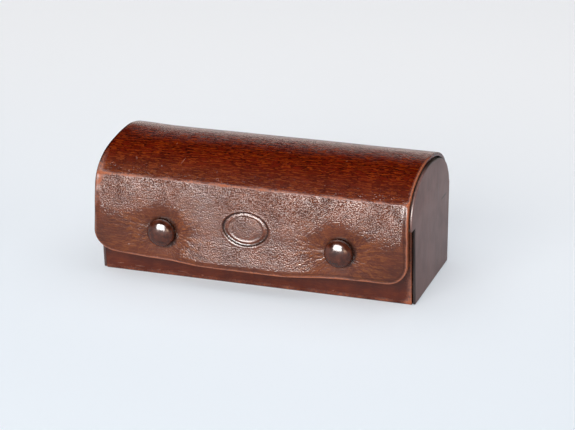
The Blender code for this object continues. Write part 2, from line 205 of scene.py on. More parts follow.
STRIP = strip_section()
FLAP_END = STRIP.along[0]
STRIP_END = STRIP.along[-1]
BACK_FOLD = STRIP.along[np.argmax((STRIP.points[:, 0] > 0) & (STRIP.points[:, 1] < HINGE_HEIGHT))]
FRONT_FOOT = STRIP_END - FRONT_HEIGHT
FLAP_LINING_FOOT = -FLAP_END - FLAP_LINING_SETBACK
STUD_ALONG = FLAP_END + (STUD_HEIGHT - FLAP_FOOT) / math.cos(FRONT_LEAN)


# Small helpers


def ease(length, low, high):
    """Goes smoothly from 0 to 1 as a length in metres goes from low to high, which are in mm."""
    t = np.clip((length / MM - low) / (high - low), 0.0, 1.0)
    return t * t * (3 - 2 * t)


def hump(length, place, width):
    """A round hump of height 1 along a length in metres. Its place and half width are in mm."""
    return np.exp(-((length / MM - place) / width) ** 2)


def mottle(u, v, size, seed=0.0):
    """Smooth noise over the flat leather, from -1 to 1, with lumps of about one size in metres."""
    places = zip(u.ravel(), v.ravel())
    return np.array([noise.noise(Vector((a / size, b / size, seed))) for a, b in places]).reshape(u.shape)


def mode(name):
    bpy.ops.object.mode_set(mode=name)


def deselect():
    if bpy.context.object and bpy.context.object.mode != "OBJECT":
        mode("OBJECT")
    bpy.ops.object.select_all(action="DESELECT")


def activate(piece):
    deselect()
    piece.select_set(True)
    bpy.context.view_layer.objects.active = piece


def apply_modifier(piece, kind, **settings):
    activate(piece)
    modifier = piece.modifiers.new(kind.lower(), kind)
    for key, value in settings.items():
        setattr(modifier, key, value)
    bpy.ops.object.modifier_apply(modifier=modifier.name)


def smooth_shaded(piece, angle=40.0):
    activate(piece)
    bpy.ops.object.shade_smooth_by_angle(angle=math.radians(angle))


def give(piece, body, slot, materials, *nodes):
    """Set a piece's materials and say what it rides on and the nodes that it stands for. The slot is not
    used.
    """
    piece.data.materials.clear()
    for material in materials:
        piece.data.materials.append(material)
    if body:
        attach(piece, body)
    if nodes:
        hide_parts(*nodes)


# Sheets of leather and cloth


def stretches(start, *parts):
    """Even steps through stretches that follow on each other. A part says where it stops and its step."""
    places = [start]
    for stop, pitch in parts:
        count = max(1, round((stop - places[-1]) / pitch))
        places += list(np.linspace(places[-1], stop, count + 1))[1:]
    return places


def edge_steps(half, near, pitch, fine=None):
    """Places across a sheet: set distances in from each side edge, then steps between them, with smaller
    steps in a fine stretch. Each is a pair that gives x = pair[0] * half + pair[1], so that the side ones
    follow a curved edge."""
    inner = half - near[-1]
    parts = [(inner, pitch)]
    if fine:
        low, high, fine_pitch = fine
        parts = [(low, pitch), (high, fine_pitch), (inner, pitch)]
    left = [(-1.0, step) for step in near]
    middle = [(x / inner, -x / inner * near[-1]) for x in stretches(-inner, *parts)[1:-1]]
    right = [(1.0, -step) for step in reversed(near)]
    return left + middle + right


def formed_sheet(name, columns, rows, half, form, thickness, rim, backed=True):
    """A flat grid that is formed point by point and then given its thickness on its inner side.
    The map called flat keeps each point's place in the flat sheet, in metres. A backed sheet has
    its second material on its back and its third on its cut edges."""
    deselect()
    wide, long = len(columns), len(rows)
    bpy.ops.mesh.primitive_grid_add(x_subdivisions=wide - 1, y_subdivisions=long - 1, size=1.0)
    piece = bpy.context.object
    piece.name = name
    mesh = piece.data
    places = np.array([v.co for v in mesh.vertices])
    order = np.lexsort((places[:, 0].round(6), places[:, 1].round(6)))
    sides, insets = np.array(columns).T
    v = np.repeat(np.array(rows)[:, None], wide, axis=1)
    u = half(v) * sides[None, :] + insets[None, :]
    x, y, z = form(u, v)
    formed = np.empty((wide * long, 3))
    formed[order] = np.stack([x.ravel(), y.ravel(), z.ravel()], axis=1)
    flat = np.empty((wide * long, 2))
    flat[order] = np.stack([u.ravel(), v.ravel()], axis=1)
    mesh.vertices.foreach_set("co", formed.ravel())
    layer = mesh.uv_layers[0]
    layer.name = "flat"
    layer.data.foreach_set("uv", flat[corner_points(mesh)].ravel())
    mesh.update()
    apply_modifier(piece, "SOLIDIFY", thickness=thickness, offset=-1.0, use_even_offset=True,
                   material_offset=1 if backed else 0, material_offset_rim=2 if backed else 0)
    round_rim(piece, rim, folded=backed)
    smooth_shaded(piece)
    return piece


def corner_points(mesh):
    """The point at each corner of each face."""
    corners = np.empty(len(mesh.loops), int)
    mesh.loops.foreach_get("vertex_index", corners)
    return corners


def flat_places(piece):
    """Each point's place in the flat sheet, read back from its map."""
    mesh = piece.data
    corners = corner_points(mesh)
    flat = np.empty(2 * len(mesh.loops), np.float32)
    mesh.uv_layers["flat"].data.foreach_get("uv", flat)
    total = np.zeros((len(mesh.vertices), 2))
    np.add.at(total, corners, flat.reshape(-1, 2))
    total /= np.bincount(corners, minlength=len(mesh.vertices))[:, None]
    return total[:, 0], total[:, 1]


def round_rim(piece, width, folded):
    """Round the cut edges of a sheet, but not where two pieces of one sheet meet, nor on the inner side of
    the leather's tight fold."""
    fold_reach = 6 * MM
    activate(piece)
    mode("EDIT")
    bpy.ops.mesh.select_mode(type="EDGE")
    bpy.ops.mesh.select_all(action="DESELECT")
    bpy.ops.mesh.edges_select_sharp(sharpness=math.radians(60.0))
    mode("OBJECT")
    v = flat_places(piece)[1]
    first_inner = len(v) // 2
    for edge in piece.data.edges:
        on_seam = all(abs(v[i] - SEAM) < 0.01 * MM for i in edge.vertices)
        inner = max(edge.vertices) >= first_inner
        in_fold = inner and all(abs(v[i] - FOLD_LINE) < fold_reach for i in edge.vertices)
        if on_seam or (folded and in_fold):
            edge.select = False
    mode("EDIT")
    bpy.ops.mesh.bevel(offset=width, segments=3, profile=0.5, affect="EDGES")
    mode("OBJECT")


def depth_in(piece, v):
    """How deep each point lies in the strip's thickness, from its outer face."""
    places = np.array([point.co for point in piece.data.vertices])
    outer_y, outer_z = STRIP.at(v, 0.0)
    inner_y, inner_z = STRIP.at(v, -1.0)
    return (places[:, 1] - outer_y) * (inner_y - outer_y) + (places[:, 2] - outer_z) * (inner_z - outer_z)


def paint(piece, name, values):
    """Keep one number for each point, for the materials to read."""
    layer = piece.data.attributes.new(name, "FLOAT", "POINT")
    layer.data.foreach_set("value", np.clip(values, 0.0, 1.0).astype(np.float32))


# Leather strip: front wall, bottom, back and lid in one piece, up to just above the crease


def crease_fold(u, v):
    """The fold along the crease stands out from the arch, with a small round top, so that the flap hangs
    straight below it. It is worn down at its left end."""
    height = 1.3 * MM * (1 - 0.7 * ease(-u, 58, 69))
    round_top = 0.15 * MM
    off = np.hypot(v - FOLD_LINE, round_top) - round_top
    over_lid = np.exp(-off / (4.5 * MM))
    down_flap = np.clip(1 - off / (9 * MM), 0.0, 1.0) ** 2
    return height * np.where(v > FOLD_LINE, over_lid, down_flap)


def hide_tone(u, v):
    """0 for the lid's red brown, 1 for the greyer brown of the flap. That greyer brown also fades in over the
    lid towards the crease, more to the left, as a painted sheen.
    """
    below = 1 - ease(v - FOLD_LINE, -0.6, 0.2)
    # Painted sheen: the flap's greyer brown over the lid above the fold
    above = (0.45 + 0.3 * ease(-u, 0, 50)) * (1 - ease(v, -2, 14))
    return below + above * (1 - below)


def crease_grain(u, v):
    """Fine pebbles on the lid's side of the crease."""
    above = ease(v - FOLD_LINE, 0.3, 1.5) * (1 - ease(v, 1, 14))
    return above * (0.22 + 0.04 * ease(-u, 5, 50))


def lid_waves(u, v):
    """Slow unevenness of old leather over board."""
    return 0.10 * MM * mottle(u, v, 22 * MM, 3.1) + 0.035 * MM * mottle(u, v, 7 * MM, 8.7)


def strip_half(v):
    """The lid is a little narrower than the box."""
    return LID_HALF + (BODY_HALF - LID_HALF) * ease(v - BACK_FOLD, -3, 3)


def lid_end_sag(u, v):
    """The lid's left end has sunk a little towards the front and stands up at the top."""
    sunk = ease(v, 6, 16) * (1 - ease(v, 20, 30))
    raised = ease(v, 26, 38) * (1 - ease(v, 52, 66))
    return ease(-u, 50, 69) * (0.5 * raised - 0.5 * sunk) * MM


def form_strip(u, v):
    lid = 1 - ease(v - BACK_FOLD, -6, 0)
    lift = crease_fold(u, v) + lid_waves(u, v) * lid + lid_end_sag(u, v)
    y, z = STRIP.at(v, lift)
    high_left = ease(-u, 58, 69) * ease(v, 8, 34) * lid
    return u + 0.7 * MM * high_left, y, z


def strip_rows():
    """Rows of the strip, close at the crease, at the back fold and at the two feet."""
    back_foot = BACK_FOLD + HINGE_HEIGHT - FOOT_RADIUS
    rows = stretches(SEAM, (9 * MM, 0.45 * MM),
                     (BACK_FOLD - 4 * MM, 0.8 * MM), (BACK_FOLD + 3 * MM, 0.4 * MM),
                     (back_foot - 1 * MM, 2.0 * MM), (back_foot + 5 * MM, 0.5 * MM),
                     (FRONT_FOOT - 3 * MM, 2.0 * MM), (FRONT_FOOT + 4 * MM, 0.5 * MM),
                     (STRIP_END - 1 * MM, 1.5 * MM))
    return rows + [STRIP_END]


def make_strip(leather):
    """The strip, and where it is bare, nicked, darkened by painted shade, pebbled, greyer (above the crease
    as a painted sheen) and creased.
    """
    near_edges = [step * MM for step in (0.0, 0.7, 1.1, 1.6, 2.3, 3.2)]
    columns = edge_steps(LID_HALF, near_edges, 1.1 * MM)
    strip = formed_sheet("strip_leather", columns, strip_rows(), strip_half, form_strip, LEATHER, STRIP_RIM)
    u, v = flat_places(strip)
    from_side = strip_half(v) - np.abs(u)
    lid = 1 - ease(v - BACK_FOLD, -2, 2)
    wall = ease(v - FRONT_FOOT, -2, 0)
    right = ease(u, 0, 40)
    patchy = 0.7 + 0.5 * mottle(u, v, 6 * MM, 14.0)

    wear = 0.95 * right * (1 - ease(v, 26, 44)) * hump(from_side, 0, 1.0)
    wear += 0.65 * right * wall * hump(from_side, 0, 2.6)
    wear += 0.95 * patchy * (1 - right) * (1 - ease(v, 6, 18)) * hump(from_side, 1.5, 1.3)
    wear += 0.35 * patchy * hump(v - BACK_FOLD, 0, 1.5)
    wear += 0.7 * patchy * hump(v - FRONT_FOOT, 0.8, 1.7)
    # The cut edge is bare only in a thin outer layer towards the top and back, so that its dark edge stain
    # there also paints the shade where the lid's edge stands off the end covers
    bare_depth_mm = 0.25 + 0.55 * (1 - ease(v, 14, 34))
    paint(strip, "wear", wear * (1 - ease(depth_in(strip, v) / bare_depth_mm, 0.7, 1.6)))

    # Two dark nicks near the top, painted shade along the left edge, and a painted shadow of the flap on the
    # wall, strongest high up under the flap and weaker at its right end
    along_nick = u - 25 * MM
    grime_and_shade = np.exp(-(along_nick / (4.5 * MM)) ** 4) * hump(v + 0.28 * along_nick, 40.4, 0.7)
    grime_and_shade += 0.8 * hump(u, -29, 1.6) * hump(v, 41.5, 0.7)
    grime_and_shade += 0.9 * (1 - right) * lid * hump(from_side, 0, 0.8)
    shade_under_flap = 0.1 + 0.45 * ease(v - FRONT_FOOT, 4, 10)
    grime_and_shade += wall * shade_under_flap * (1 - 0.7 * right * hump(from_side, 0, 3.5))
    paint(strip, "grime_and_shade", grime_and_shade)
    paint(strip, "grain", 0.04 + 0.03 * lid + crease_grain(u, v))
    paint(strip, "tone", np.maximum(hide_tone(u, v), 0.6 * wall))
    paint(strip, "lines", 0.15 + lid * (0.45 + 0.4 * ease(v, 4, 14) - 0.55 * ease(v, 44, 64)))
    give(strip, None, "brown_leather", leather, "wrap_leather", "lid_leather")
    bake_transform(strip)


# Flap: from just above the crease to its round lower corners


def flap_half(v):
    """Half width of the flap, which runs in round its lower corners."""
    rise = np.clip((v - FLAP_END) / FLAP_CORNER, 0.0, 1.0)
    return LID_HALF - FLAP_CORNER * (1 - np.sqrt(np.maximum(1 - (1 - rise) ** 2, 0.0)))


def flap_edge(u, v):
    """Distance from a point of the flap to its nearest cut edge."""
    over = np.maximum(np.abs(u) - LID_HALF + FLAP_CORNER, 0.0)
    under = np.maximum(FLAP_END + FLAP_CORNER - v, 0.0)
    in_corner = FLAP_CORNER - np.hypot(over, under)
    in_line = np.minimum(LID_HALF - np.abs(u), v - FLAP_END)
    return np.where((over > 0) & (under > 0), in_corner, in_line)


def stud_polar(u, v, side):
    """Distance and bearing from a press stud, in the flat leather."""
    across, along = u - side * STUD_X, v - STUD_ALONG
    return np.hypot(across, along), np.arctan2(along, across)


def stud_reach(u, v):
    """Distance to the nearer press stud."""
    return np.minimum(stud_polar(u, v, -1)[0], stud_polar(u, v, 1)[0])


def stud_pull(u, v):
    """The leather dips at the press studs, and fine wrinkles fan out from them."""
    lift = np.zeros_like(u)
    for _, side in SIDES:
        reach, bearing = stud_polar(u, v, side)
        across, along = np.cos(bearing), np.sin(bearing)
        lift -= 0.18 * MM * np.exp(-(reach / (8.5 * MM)) ** 4)
        fan = mottle(across * 5.2, along * 5.2, 1.0, 5.0 + side)
        fan += 0.6 * mottle(across * 9.5, along * 9.5 + reach * 25, 1.0, 9.0 + side)
        lift += 0.07 * MM * fan * ease(reach, 6, 8) * (1 - ease(reach, 11, 24))
    return lift


def stamp_out(u, v):
    """Distance outside the rim of the plain oval stamp in the middle of the flap."""
    across, along = (u + 1 * MM) / (10.4 * MM), (v - FLAP_END - 17.8 * MM) / (7.4 * MM)
    return (np.hypot(across, along) - 1) * 8.6 * MM


def blank_stamp(u, v):
    """A plain oval pressed into the flap: a steep wall, a raised line inside it and a lip that the press
    pushed up."""
    out = stamp_out(u, v)
    sunk = -0.75 * (1 - ease(out, -0.7, 0.1))
    line = 0.3 * hump(out, -1.9, 0.4)
    field = 0.25 * (1 - ease(out, -4.5, -2.6))
    lip = 0.12 * hump(out, 0.5, 0.5)
    return (sunk + line + field + lip) * MM


def flap_bulge(u, v):
    """The flap bellies out below the crease, but not at the press studs, which hold it in, and its lower edge
    flares out between them."""
    hold = sum(hump(stud_polar(u, v, side)[0], 0, 13) for _, side in SIDES)
    reach_mm = 20 - 7 * ease(np.abs(u), 36, 56)
    belly = 0.09 * reach_mm * ease(-v, 3, 3 + reach_mm)
    flare = 2.2 * ease(-v, 21, 37) * (1 - ease(np.abs(u + 4 * MM), 16, 40))
    return (belly + flare) * (1 - hold) * MM


def tooled_line(u, v):
    """The line that a creaser presses along the flap's edge, rubbed away but for its right side."""
    depth = 0.15 * MM * (0.2 + 0.8 * ease(u, 30, 62)) * (1 - 0.8 * ease(-v, 26, 34))
    return -depth * hump(flap_edge(u, v), TOOLED_AT, 0.26)


def form_flap(u, v):
    near_crease = ease(v, -7, SEAM / MM)
    lift = crease_fold(u, v) + lid_waves(u, v) * (0.5 + 0.5 * near_crease) + lid_end_sag(u, v)
    lift += tooled_line(u, v) * (1 - ease(v, -2, 1)) + stud_pull(u, v) * (1 - near_crease)
    lift += blank_stamp(u, v) + flap_bulge(u, v)
    y, z = STRIP.at(v, lift)
    return flap_hang(u, v, y, z)


def flap_hang(u, v, y, z):
    """The flap's lower left corner has curled out and up a little, and its lower edge hangs down between the
    corners."""
    foot_mm = -FLAP_END / MM
    down = ease(-v, 6, foot_mm)
    left = ease(-u, 40, 69)
    drop = ease(u, -68, -42) * (1 - 0.9 * ease(u, 14, 60)) * ease(-v, 21, foot_mm)
    x = u - 1.1 * MM * left * down
    y = y - 1.3 * MM * left * down ** 2
    z = z - 1.2 * MM * drop + 0.8 * MM * left * down ** 2
    return x, y, z


def flap_rows():
    """Rows of the flap, close at its foot, over the stamp and at the crease."""
    rows = [FLAP_END + step * MM for step in (0.0, 0.12) + TOOLED_STEPS]
    return rows + stretches(rows[-1], (FLAP_END + 8.5 * MM, 0.6 * MM), (FLAP_END + 27 * MM, 0.26 * MM),
                            (-4 * MM, 0.6 * MM), (0.0, 0.16 * MM), (SEAM, 0.4 * MM))[1:]


def make_flap(leather):
    """The flap, and where it is bare, darkened by painted shade, pebbled, folded, greyer and creased."""
    near_edges = [step * MM for step in (0.0,) + TOOLED_STEPS]
    over_stamp = (-13.5 * MM, 11.5 * MM, 0.26 * MM)
    columns = edge_steps(LID_HALF, near_edges, 0.65 * MM, over_stamp)
    flap = formed_sheet("flap_leather_sheet", columns, flap_rows(), flap_half, form_flap, LEATHER, FLAP_RIM)
    u, v = flat_places(flap)
    edge = flap_edge(u, v)
    reach = stud_reach(u, v)
    stamp = stamp_out(u, v)
    fold = v - FOLD_LINE
    from_left = LID_HALF + u
    right = ease(u, 0, 40)
    patchy = 0.7 + 0.7 * mottle(u, v, 5 * MM, 12.0)

    wear = (0.75 + 0.25 * right) * patchy * hump(edge, 0, 0.9) + 0.5 * hump(edge, 0, 0.4)
    wear += 0.4 * patchy * hump(u, 5, 34) * hump(v, -20, 9)
    wear += 0.75 * patchy * (1 - right) * hump(from_left, 1.8, 1.2) * ease(v, -20, -6)
    wear += 0.92 * patchy * hump(fold, 0.4, 0.8)
    wear += 0.55 * np.maximum(mottle(u, v, 8 * MM, 17.0), 0.0) * hump(fold, 0.6, 1.7)
    wear += 0.7 * patchy * hump(u, -66, 2.5) * hump(v, -4, 4)
    paint(flap, "wear", wear)

    # Painted shade in the stamp's wall, at the foot of its raised field and in the tooled line; a painted
    # shadow about each press stud, mostly on its right; painted shade along the left edge and in the low
    # corners
    grime_and_shade = 0.9 * hump(stamp, -0.45, 0.5) + 0.35 * hump(stamp, -2.6, 0.35)
    grime_and_shade += 0.4 * right * hump(edge, TOOLED_AT, 0.3) * (1 - ease(v, -4, -1))
    beside = stud_reach(u - 1.2 * MM, v)
    grime_and_shade += 0.25 * (1 - ease(reach, 5.9, 8.4)) + 0.6 * (1 - ease(beside, 5.9, 7.4))
    grime_and_shade += 0.9 * (1 - right) * hump(from_left, 0, 0.4)
    grime_and_shade += 0.14 * ease(np.abs(u), 38, 58) * ease(-v, 12, 24)
    paint(flap, "grime_and_shade", grime_and_shade)

    upper = 1 - ease(-v, 12, 22)
    low_middle = (1 - ease(np.abs(u + 6 * MM), 24, 38)) * ease(-v, 24, 30)
    grain = 0.62 + 0.38 * np.maximum(upper, low_middle)
    grain *= 1 - 0.9 * ease(np.abs(u), 40, 60) * ease(-v, 8, 28)
    grain *= 0.2 + 0.8 * ease(reach, 9, 20)
    grain *= ease(edge, 1.6, 3.5) * ease(-fold, -0.5, 0.4)
    grain *= 0.35 + 0.65 * ease(np.abs(stamp + 1 * MM), 1.2, 2.6)
    grain *= 0.9 + 0.4 * mottle(u, v, 13 * MM, 6.0)
    paint(flap, "grain", grain + crease_grain(u, v))
    paint(flap, "folds", hump(u, 24, 13) * hump(v, -10, 7))
    paint(flap, "tone", hide_tone(u, v))
    paint(flap, "lines", 0.3 + 0.3 * ease(fold, -0.5, 0.5))
    give(flap, None, "brown_leather", leather, "flap_leather")
    high_y, high_z = STRIP.at(1.4 * MM, 0.0)
    low_y, low_z = STRIP.at(-2.8 * MM, 0.0)
    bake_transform(flap)


# Materials

SMOOTH = {"interpolation_type": "SMOOTHSTEP"}


def linear(code):
    """Linear red, green, blue and alpha of an sRGB hex code."""
    channels = [int(code[i:i + 2], 16) / 255 for i in (1, 3, 5)]
    return tuple(c / 12.92 if c <= 0.04045 else ((c + 0.055) / 1.055) ** 2.4 for c in channels) + (1.0,)


def connect(socket, value):
    """Give a node's input its value, or link it from a node or from one of a node's outputs."""
    if isinstance(value, bpy.types.Node):
        value = next(output for output in value.outputs if output.enabled)
    if isinstance(value, bpy.types.NodeSocket):
        socket.id_data.links.new(value, socket)
    else:
        socket.default_value = value


def set_inputs(node, values):
    for key, value in values.items():
        connect(node.inputs[key], value)


def add(tree, kind, *values, **settings):
    """Add a shader node. Its kind may have a second word, for its operation or for what it mixes. Values fill
    its inputs in turn, and a setting goes to the input or else to the property of its name."""
    kind, _, choice = kind.partition(" ")
    made = tree.nodes.new("ShaderNode" + kind)
    if choice:
        setattr(made, "data_type" if kind == "Mix" else "operation", choice)
    for key in [key for key in settings if key not in made.inputs]:
        setattr(made, key, settings.pop(key))
    for socket, value in zip([socket for socket in made.inputs if socket.enabled], values):
        connect(socket, value)
    set_inputs(made, settings)
    return made


def new_material(name):
    """A new material and a function that adds nodes to it."""
    material = bpy.data.materials.new(name)
    material.use_nodes = True
    return material, functools.partial(add, material.node_tree)


def finished(material, colour, roughness, bump, **others):
    """The material, with its shader's inputs set or linked."""
    shader = material.node_tree.nodes["Principled BSDF"]
    others = {key.replace("_", " "): value for key, value in others.items()}
    set_inputs(shader, {"Base Color": colour, "Roughness": roughness, "Normal": bump, **others})
    return material


def place_in_mm(node):
    """Place in the object's own coordinates, in mm."""
    return node("VectorMath SCALE", node("TexCoord").outputs["Object"], 1 / MM)


def two_tone(node, pattern, low, high, dark, light):
    """A colour that goes from dark to light as a pattern goes from low to high."""
    share = node("MapRange", pattern, low, high, **SMOOTH)
    return node("Mix RGBA", share, linear(dark), linear(light))


def glazed_cowhide(scuffs):
    """Vegetable tanned cowhide, dyed brown, glazed, and rubbed for decades: smooth and red brown with short
    fine creases on the lid, pebbled and greyer on the flap, where each pebble catches the light, dark nicks,
    painted shade in the hollows and creases with painted highlights on the crease tops, and tan fibres
    where the dyed grain has worn off the edges and in scuffs."""
    material, node = new_material("leather_glazed_cowhide")
    flat = node("UVMap", uv_map="flat")
    place = node("VectorMath SCALE", flat, 1 / MM)
    painted = ("wear", "grain", "grime_and_shade", "folds", "tone", "lines")
    wear, grain, grime_and_shade, folds, tone, lined = [
        node("Attribute", attribute_name=name).outputs["Fac"] for name in painted]
    lid_and_flap = (("#5a1000", "#58240d"), ("#6a1701", "#6f3214"), ("#8e3604", "#9a5420"))
    deep, body, high = [
        node("Mix RGBA", tone, linear(on_lid), linear(on_flap)) for on_lid, on_flap in lid_and_flap]

    # Domed pebbles, coarser than the hide's own pores so that they show
    pebble_mm = 0.58
    bend = node("TexNoise", place, Scale=1.2, Detail=2.0)
    shift = node("VectorMath SCALE", bend.outputs["Color"], 0.38)
    bent = node("VectorMath ADD", place, shift)
    cells = node("TexVoronoi", bent, Scale=1 / pebble_mm, voronoi_dimensions="2D")
    domes = node("Math POWER", cells, 2.0)
    sizes = node("TexNoise", place, Scale=0.3, Detail=2.0)
    depth = node("Math MULTIPLY", grain, sizes)
    pebbled = node("Math MULTIPLY", domes, depth)

    # Short sharp creases, drawn out along the case
    drawn = node("Mapping", place, Scale=(0.19, 1.3, 1.0))
    ripple = node("TexNoise", drawn, Scale=1.0, Detail=2.0)
    off_line = node("Math SUBTRACT", ripple, 0.5)
    off_line = node("Math ABSOLUTE", off_line)
    creases = node("MapRange", off_line, 0.0, 0.07, **SMOOTH)

    # Folds that run aslant where the flap has been bent
    aslant = node("Mapping", bent, Rotation=(0.0, 0.0, math.radians(46.0)), Scale=(7.0, 0.95, 1.0),
                  vector_type="TEXTURE")
    slant = node("TexNoise", aslant, Scale=1.0, Detail=1.0)

    # Wrinkles that fan out sideways from the press studs, the same way about both
    mirror = node("VectorMath ABSOLUTE", place)
    across = node("SeparateXYZ", mirror).outputs["X"]
    along = node("SeparateXYZ", bent).outputs["Y"]
    spot = node("CombineXYZ", across, along)
    ray = node("VectorMath SUBTRACT", spot, (STUD_X / MM, STUD_ALONG / MM, 0.0))
    sway = node("TexNoise", place, Scale=0.16, Detail=2.0)
    sway = node("VectorMath SUBTRACT", sway.outputs["Color"], (0.5, 0.5, 0.0))
    sway = node("VectorMath SCALE", sway, 5.0)
    swayed = node("VectorMath ADD", ray, sway)
    reach = node("VectorMath LENGTH", ray)
    bearing = node("VectorMath NORMALIZE", swayed)
    turned_by = node("VectorMath SCALE", bearing, 15.0)
    outward = node("Math MULTIPLY", reach, 0.08)
    lift = node("CombineXYZ", Z=outward)
    fan_place = node("VectorMath ADD", turned_by, lift)
    fan = node("TexNoise", fan_place, Scale=1.0, Detail=2.0)
    fade = node("MapRange", reach, 30.0, 9.0, **SMOOTH)
    aside = node("SeparateXYZ", bearing).outputs["X"]
    aside = node("Math MULTIPLY", aside, aside)
    aside = node("Math MULTIPLY_ADD", aside, 0.85, 0.15)
    fade = node("Math MULTIPLY", fade, aside)
    fan_depth = node("Math MULTIPLY", fade, 0.24)

    pores = node("TexNoise", place, Scale=1.8, Detail=2.0, Roughness=0.6)
    relief = node("Math MULTIPLY", pebbled, -0.8)
    crease_depth = node("Math MULTIPLY", lined, 0.025)
    pore_depth = node("Math MULTIPLY_ADD", grain, 0.06, 0.01)
    fold_depth = node("Math MULTIPLY", folds, 0.6)
    reliefs = ((creases, crease_depth), (fan, fan_depth), (pores, pore_depth), (slant, fold_depth))
    for pattern, height in reliefs:
        relief = node("Math MULTIPLY_ADD", pattern, height, relief)
    bump = node("Bump", Strength=1.0, Distance=1.0 * MM, Height=relief)

    # Cloudy colour, deep in patches; the creases darker and their tops and the fan wrinkles' tops lighter,
    # partly the leather's own colour and partly painted shade and painted highlight
    cloud = node("TexNoise", place, Scale=0.07, Detail=4.0, Roughness=0.6)
    patch = node("MapRange", cloud, 0.35, 0.68, **SMOOTH)
    dye_and_crease_shading = node("Mix RGBA", patch, deep, body)
    streaks = node("Math MULTIPLY", lined, 0.85)
    beside = node("Math SUBTRACT", ripple, 0.59)
    beside = node("Math ABSOLUTE", beside)
    tops = node("MapRange", beside, 0.07, 0.0, **SMOOTH)
    tops = node("Math MULTIPLY", tops, streaks)
    fan_tops = node("MapRange", fan, 0.46, 0.62, **SMOOTH)
    fan_dye_and_highlight = node("Math MULTIPLY", fade, 0.6)
    tops = node("Math MULTIPLY_ADD", fan_tops, fan_dye_and_highlight, tops, use_clamp=True)
    # Lighter tops of the creases and fan wrinkles: partly the leather's colour, partly painted highlight
    dye_and_crease_shading = node("Mix RGBA", tops, dye_and_crease_shading, high)
    lines = node("Math SUBTRACT", 1.0, creases)
    lines = node("Math MULTIPLY", lines, streaks)
    # Dark crease lines: partly the leather's colour, partly painted shade
    dye_and_crease_shading = node("Mix RGBA", lines, dye_and_crease_shading, linear("#2a0802"))

    # Bare fibres where the edges and folds are rubbed, and in scuffs
    rubbing = wear
    for u, v, length, width, turn in scuffs:
        mark = node("Mapping", bent, Location=(u, v, 0.0), Rotation=(0.0, 0.0, math.radians(turn)),
                    Scale=(length / 2, width / 2, 1.0), vector_type="TEXTURE")
        off = node("VectorMath LENGTH", mark)
        scuff = node("MapRange", off, 1.0, 0.2, 0.0, 0.68)
        rubbing = node("Math MAXIMUM", rubbing, scuff)
    fibre = node("TexNoise", place, Scale=0.8, Detail=4.0, Roughness=0.7)
    rubbed = node("Math MULTIPLY_ADD", fibre, 1.8, -1.0)
    rubbed = node("Math ADD", rubbing, rubbed)
    bare = node("MapRange", rubbed, 0.2, 0.9, **SMOOTH)
    colour = node("Mix RGBA", bare, dye_and_crease_shading, linear("#a24f1f"))
    # Dark nicks, and painted shade in the recesses, beside the press studs, along the left edges and over the
    # wall
    colour = node("Mix RGBA", grime_and_shade, colour, linear("#1c0a05"))

    # Glazed, duller where it is pebbled, and matt where it is bare
    gloss = node("MapRange", pores, 0.3, 0.7, 0.13, 0.23)
    gloss = node("Math MULTIPLY_ADD", grain, 0.18, gloss)
    matt = node("Math MULTIPLY", rubbing, rubbing)
    gloss = node("Math MULTIPLY_ADD", matt, 0.9, gloss, use_clamp=True)
    return finished(material, colour, gloss, bump, IOR=1.45)


def leather_flesh():
    """The hide's flesh side: short matted fibres, dull brown, with no shine."""
    material, node = new_material("leather_flesh_side")
    flat = node("UVMap", uv_map="flat")
    fibres = node("TexNoise", flat, Scale=900.0, Detail=5.0, Roughness=0.7)
    patch = node("TexNoise", flat, Scale=60.0, Detail=3.0)
    mixed = node("Math MULTIPLY_ADD", fibres, 0.6, patch)
    colour = two_tone(node, mixed, 0.5, 1.1, "#3f2417", "#744b31")
    bump = node("Bump", Strength=0.8, Distance=0.12 * MM, Height=fibres)
    return finished(material, colour, 0.92, bump, Sheen_Weight=0.05)


def leather_cut():
    """A cut edge of the hide, darkened with edge stain: packed fibres, bare and tan where the edge is rubbed.
    """
    material, node = new_material("leather_cut_edge")
    flat = node("UVMap", uv_map="flat")
    wear = node("Attribute", attribute_name="wear").outputs["Fac"]
    fibres = node("TexNoise", flat, Scale=500.0, Detail=4.0, Roughness=0.7)
    rubbed = node("Math ADD", fibres, wear)
    colour = two_tone(node, rubbed, 0.6, 1.5, "#150a07", "#b06330")
    bump = node("Bump", Strength=0.5, Distance=0.08 * MM, Height=fibres)
    return finished(material, colour, 0.85, bump)


def end_panel_leather():
    """Thin smooth leather of the ends, waxed: satin and grey brown, with soft upright streaks, rims darkened
    by painted shade and one scratch on the right end."""
    material, node = new_material("end_leather_waxed")
    place = place_in_mm(node)
    drawn = node("Mapping", place, Scale=(1.0, 1.3, 0.07))
    streak = node("TexNoise", drawn, Scale=1.0, Detail=4.0, Roughness=0.6)
    cloud = node("TexNoise", place, Scale=0.12, Detail=3.0)
    pores = node("TexNoise", place, Scale=2.2, Detail=3.0, Roughness=0.6)
    mixed = node("Math MULTIPLY_ADD", streak, 0.7, cloud)
    colour = two_tone(node, mixed, 0.5, 1.2, "#694843", "#8b6761")
    scratch = node("Mapping", place, Location=(END_FACE / MM, 17.6, 33.6), Scale=(30.0, 6.0, 0.7),
                   vector_type="TEXTURE")
    off = node("VectorMath LENGTH", scratch)
    mark = node("MapRange", off, 1.0, 0.4, 0.0, 0.75)
    # The scratch and the painted shade on the rims darken the leather
    grime_and_shade = node("Attribute", attribute_name="grime_and_shade").outputs["Fac"]
    dark = node("Math MAXIMUM", mark, grime_and_shade)
    colour = node("Mix RGBA", dark, colour, linear("#1d1413"))
    rough = node("MapRange", streak, 0.3, 0.7, 0.36, 0.5)
    bump = node("Bump", Strength=0.35, Distance=0.05 * MM, Height=pores)
    return finished(material, colour, rough, bump)


